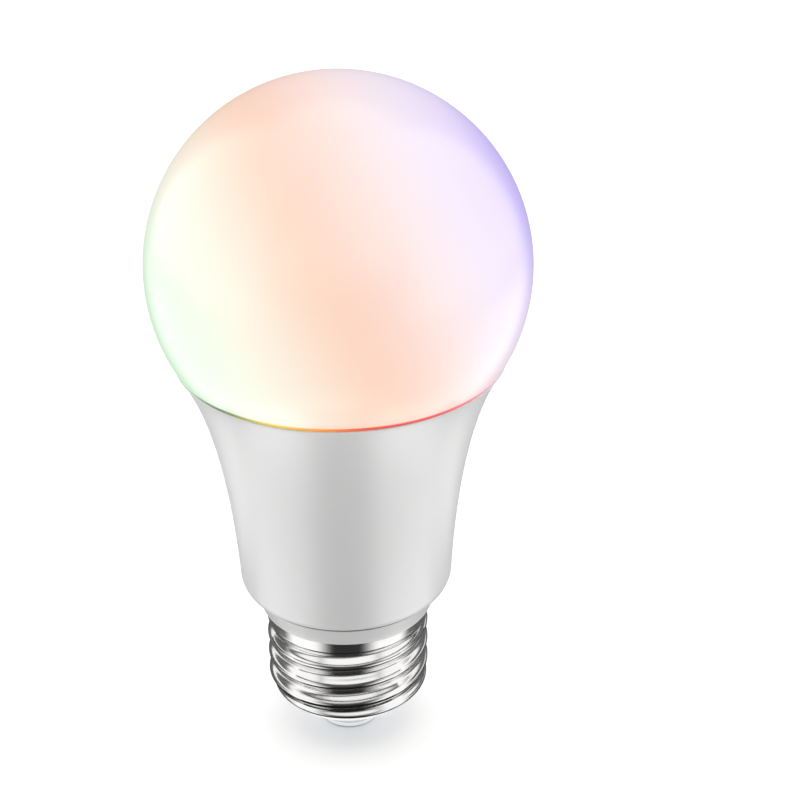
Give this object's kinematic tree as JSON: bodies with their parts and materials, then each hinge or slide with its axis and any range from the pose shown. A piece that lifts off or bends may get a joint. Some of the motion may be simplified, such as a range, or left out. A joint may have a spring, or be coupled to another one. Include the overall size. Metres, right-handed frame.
{
  "type": "smart light bulb",
  "caption": "Connected LED light bulb with an opal globe diffuser, a flared heat-sinking housing and an Edison screw cap.",
  "frame": {"origin": "centre of the centre contact's flat face, the bulb's lowest point as it stands cap down", "axes": "+Z along the bulb's axis from the screw cap to the globe; X and Y across it, with the driver board lying in the XZ plane"},
  "size_m": [0.0576, 0.0576, 0.1106],
  "materials": {
    "opal_diffuser": "opal polycarbonate, lit from inside",
    "housing_plastic": "white moulded plastic, satin",
    "collar_plastic": "white moulded plastic, satin",
    "nickel_shell": "polished nickel plate on brass",
    "contact_metal": "tinned contact button",
    "insulator_plastic": "pale moulded insulator",
    "silicone_seal": "white silicone bead",
    "sink_aluminium": "pressed sheet",
    "thermal_pad": "filled silicone pad",
    "white_board": "aluminium board with white solder mask",
    "led_white": "light package with a pale phosphor window",
    "led_warm": "light package with an amber phosphor window",
    "led_colour": "light package with a clear window",
    "screw_steel": "zinc plated",
    "socket_plastic": "ivory nylon",
    "gold_plate": "gold plated",
    "sleeve_plastic": "natural white insulating sleeve",
    "green_board": "glass-fibre board, green solder mask",
    "blue_board": "glass-fibre board, blue solder mask",
    "can_sleeve_dark": "shrink sleeve on an aluminium can",
    "can_sleeve_blue": "shrink sleeve on an aluminium can",
    "film_box": "potted film capacitor box",
    "ferrite": "sintered ferrite",
    "copper_winding": "enamelled copper wire",
    "chip_epoxy": "moulded epoxy",
    "varistor_coat": "dipped epoxy coat",
    "resistor_coat": "lacquered body",
    "shield_tin": "tinned shield can",
    "antenna_copper": "printed copper trace",
    "header_plastic": "black nylon header",
    "wire_red": "insulated wire",
    "wire_black": "insulated wire"
  },
  "bodies": {
    "root": {"diffuser_globe": "opal_diffuser", "rim_seal": "silicone_seal", "housing": "housing_plastic", "heat_sink": "sink_aluminium", "thermal_pad": "thermal_pad", "led_board": "white_board", "white_leds": "led_white", "warm_leds": "led_warm", "colour_leds": "led_colour", "board_screws": "screw_steel", "board_socket": "socket_plastic", "header_pins": "gold_plate", "driver_sleeve": "sleeve_plastic", "driver_board": "green_board", "bulk_capacitor": "can_sleeve_dark", "output_capacitor": "can_sleeve_blue", "film_capacitor": "film_box", "transformer_core": "ferrite", "transformer_winding": "copper_winding", "choke_core": "ferrite", "choke_winding": "copper_winding", "bridge_rectifier": "chip_epoxy", "driver_chip": "chip_epoxy", "varistor": "varistor_coat", "fuse_resistor": "resistor_coat", "radio_board": "blue_board", "radio_shield": "shield_tin", "radio_antenna": "antenna_copper", "radio_header": "header_plastic", "live_wire": "wire_red", "neutral_wire": "wire_black", "collar": "collar_plastic", "screw_shell": "nickel_shell", "cap_insulator": "insulator_plastic", "centre_contact": "contact_metal"}
  },
  "joints": []
}
